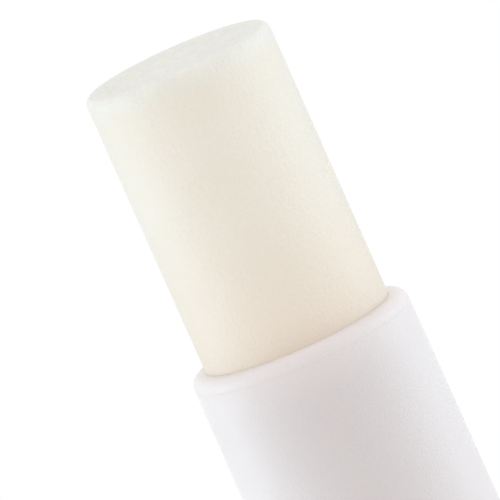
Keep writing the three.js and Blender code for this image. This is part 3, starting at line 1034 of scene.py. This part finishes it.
round_ring(LIFT_RADIUS, cup_low, LIFT_EDGE_ROUND, PLAIN_ARC)
slot_from_radius = LIFT_RADIUS - LIFT_EDGE_ROUND
for angle in rib_angles:
    pick("VERT", in_window(angle, SLOT_HALF_ANGLE, slot_from_radius, cup_low, lift_high.z))
    move_out(angle, -SLOT_DEPTH)
for angle in window_angles:
    pick("FACE", in_window(angle, WINDOW_HALF_ANGLE, inner_radius, window_low, window_high))
    bpy.ops.mesh.bridge_edge_loops()
finish_mesh(SHARP_DEGREES)
hand_over(elevator, natural_plastic, "elevator", "elevator_cup")

# %% [markdown]
# ## The white studio
# The photograph is a product shot on pure white. The world is white to the camera and to
# reflections, and gives a plain fill, a little below white, to everything else, so that the pale
# plastic doesn't melt into the background. A real studio does the same with a bright backdrop far
# behind the object.

# %% World
PLAIN_WHITE = "#FFFFFF"
FILL_COLOUR = "#FFFBFB"
FILL = 0.68

world = bpy.data.worlds.new("white_studio")
scene.world = world
world.use_nodes = True
sky = world.node_tree
sky.nodes.clear()
rays = add_node(sky, "ShaderNodeLightPath").outputs
seen = add_node(
    sky,
    "ShaderNodeMath",
    {0: rays["Is Camera Ray"], 1: rays["Is Glossy Ray"]},
    operation="MAXIMUM",
)
seen_white = add_node(
    sky,
    "ShaderNodeMath",
    {0: seen.outputs["Value"], 1: rays["Is Transmission Ray"]},
    operation="MAXIMUM",
)
fill = add_node(sky, "ShaderNodeBackground", {"Color": srgb(FILL_COLOUR), "Strength": FILL})
white = add_node(sky, "ShaderNodeBackground", {"Color": srgb(PLAIN_WHITE), "Strength": 1})
mixed = add_node(
    sky,
    "ShaderNodeMixShader",
    {0: seen_white.outputs["Value"], 1: fill.outputs["Background"], 2: white.outputs["Background"]},
)
add_node(sky, "ShaderNodeOutputWorld", {"Surface": mixed.outputs["Shader"]})
print("the world fills with", FILL)

# %% [markdown]
# ## The lamps
# Large soft lamps at both sides leave the middle of the round tube a little darker than its flanks,
# as in the photograph. One lamp from the front would do the reverse. Another lamp, behind and
# above, skims over the crust of the balm's top, and a small one almost overhead lights the top of
# the lip, next to the balm.

# %% Soft lamps
SIDE_COLOUR = "#E1F5FF"
LAMP_DISTANCE = 0.4
SIDE_SIZE = 0.35
SIDE_BEHIND = 0.05
LEFT_WATTS = 0.82
RIGHT_WATTS = 0.73
TOP_SIZE = 0.175
TOP_BEHIND = 0.25
TOP_WATTS = 0.28
OVER_SIZE = 0.06
OVER_AHEAD = 0.035
OVER_WATTS = 0.14


def aimed_lamp(name, kind, place, target, watts, colour, **settings):
    """A lamp turned to a target. The camera sees its light and not the lamp itself."""
    bpy.ops.object.light_add(type=kind, location=place)
    lamp = bpy.context.object
    lamp.name = name
    lamp.data.energy = watts
    lamp.data.color = srgb(colour)[:3]
    for setting, value in settings.items():
        setattr(lamp.data, setting, value)
    lamp.rotation_euler = (target - place).to_track_quat("-Z", "Y").to_euler()
    lamp.visible_camera = False
    print(name, "gives", watts, "W")
    return lamp


lip = Vector((0, 0, mouth))
for name, side, watts in (("lamp_left", -1, LEFT_WATTS), ("lamp_right", 1, RIGHT_WATTS)):
    beside = lip + Vector((side * LAMP_DISTANCE, SIDE_BEHIND, 0))
    aimed_lamp(name, "AREA", beside, lip, watts, SIDE_COLOUR, size=SIDE_SIZE)
behind = lip + Vector((0, TOP_BEHIND, LAMP_DISTANCE))
aimed_lamp("lamp_top", "AREA", behind, lip, TOP_WATTS, PLAIN_WHITE, size=TOP_SIZE)
overhead = lip + Vector((0, -OVER_AHEAD, LAMP_DISTANCE))
aimed_lamp("lamp_over", "AREA", overhead, lip, OVER_WATTS, PLAIN_WHITE, size=OVER_SIZE)

# %% [markdown]
# In the photograph the balm is paler than the tube below it. A paler colour would be wrong under
# other light, so a narrow lamp from the front gives that: it is aimed at the balm and fades out at
# the lip. It stays out of reflections, where it would show as a spot.

# %% Front lamp
SPOT_COLOUR = "#FFFCF2"
SPOT_DISTANCE = 0.6
SPOT_RADIUS = 21.8 * MM
SPOT_BLEND = 0.3
SPOT_SOURCE = 0.003
SPOT_WATTS = 3.1

balm_end = Vector((0, 0, top))
front_lamp = aimed_lamp(
    "lamp_front",
    "SPOT",
    balm_end + back * SPOT_DISTANCE,
    balm_end,
    SPOT_WATTS,
    SPOT_COLOUR,
    spot_size=2 * math.atan(SPOT_RADIUS / SPOT_DISTANCE),
    spot_blend=SPOT_BLEND,
    shadow_soft_size=SPOT_SOURCE,
)
front_lamp.visible_glossy = False

# %% [markdown]
# ## The floor
# A round pale floor carries the shadow of the stick. It fades out at its edge, so that no rim shows
# against the white, and it can't be seen from below. Close round the foot it lets light through,
# though not for the camera, because a stick that is turned over to show its dial would be lit there
# too. All three come from one share of clear material, worked out first.

# %% Where the floor is clear
FLOOR_RADIUS = 0.25
FLOOR_SIDES = 96
FADE_FROM = FLOOR_RADIUS / 3
FOOT_SHINE_RADIUS = 9 * MM

bpy.ops.mesh.primitive_circle_add(vertices=FLOOR_SIDES, radius=FLOOR_RADIUS, fill_type="NGON")
floor = bpy.context.object
floor.name = "floor"
floor_paint, paint, place = new_material("pale_floor")
from_middle = add_node(paint, "ShaderNodeVectorMath", {0: place}, operation="LENGTH")
fade = add_node(
    paint,
    "ShaderNodeMapRange",
    {"Value": from_middle.outputs["Value"], "From Min": FADE_FROM, "From Max": FLOOR_RADIUS},
    interpolation_type="SMOOTHSTEP",
)
under_foot = add_node(
    paint,
    "ShaderNodeMapRange",
    {
        "Value": from_middle.outputs["Value"],
        "From Min": FOOT_SHINE_RADIUS,
        "From Max": 2 * FOOT_SHINE_RADIUS,
        "To Min": 1,
        "To Max": 0,
    },
    interpolation_type="SMOOTHSTEP",
)
below = add_node(paint, "ShaderNodeNewGeometry").outputs["Backfacing"]
seen_floor = add_node(paint, "ShaderNodeLightPath").outputs["Is Camera Ray"]
lets_light_up = add_node(
    paint,
    "ShaderNodeMath",
    {0: under_foot.outputs["Result"], 1: seen_floor},
    operation="SUBTRACT",
    use_clamp=True,
)
clear_edge = add_node(
    paint, "ShaderNodeMath", {0: fade.outputs["Result"], 1: below}, operation="MAXIMUM"
)
clear_share = add_node(
    paint,
    "ShaderNodeMath",
    {0: clear_edge.outputs["Value"], 1: lets_light_up.outputs["Value"]},
    operation="MAXIMUM",
)
print("the floor starts to fade", round(FADE_FROM / MM), "mm from the stick")

# %% [markdown]
# The floor itself is matt paint, a little below white. It belongs to the stage and not to the
# stick.

# %% Paint of the floor
FLOOR_COLOUR = "#F7F7F7"
FLOOR_ROUGHNESS = 0.8

pale = add_node(
    paint,
    "ShaderNodeBsdfPrincipled",
    {"Base Color": srgb(FLOOR_COLOUR), "Roughness": FLOOR_ROUGHNESS},
)
clear = add_node(paint, "ShaderNodeBsdfTransparent")
ground = add_node(
    paint,
    "ShaderNodeMixShader",
    {0: clear_share.outputs["Value"], 1: pale.outputs["BSDF"], 2: clear.outputs["BSDF"]},
)
add_node(paint, "ShaderNodeOutputMaterial", {"Surface": ground.outputs["Shader"]})
floor.data.materials.append(floor_paint)
print("floor radius, mm:", FLOOR_RADIUS / MM)
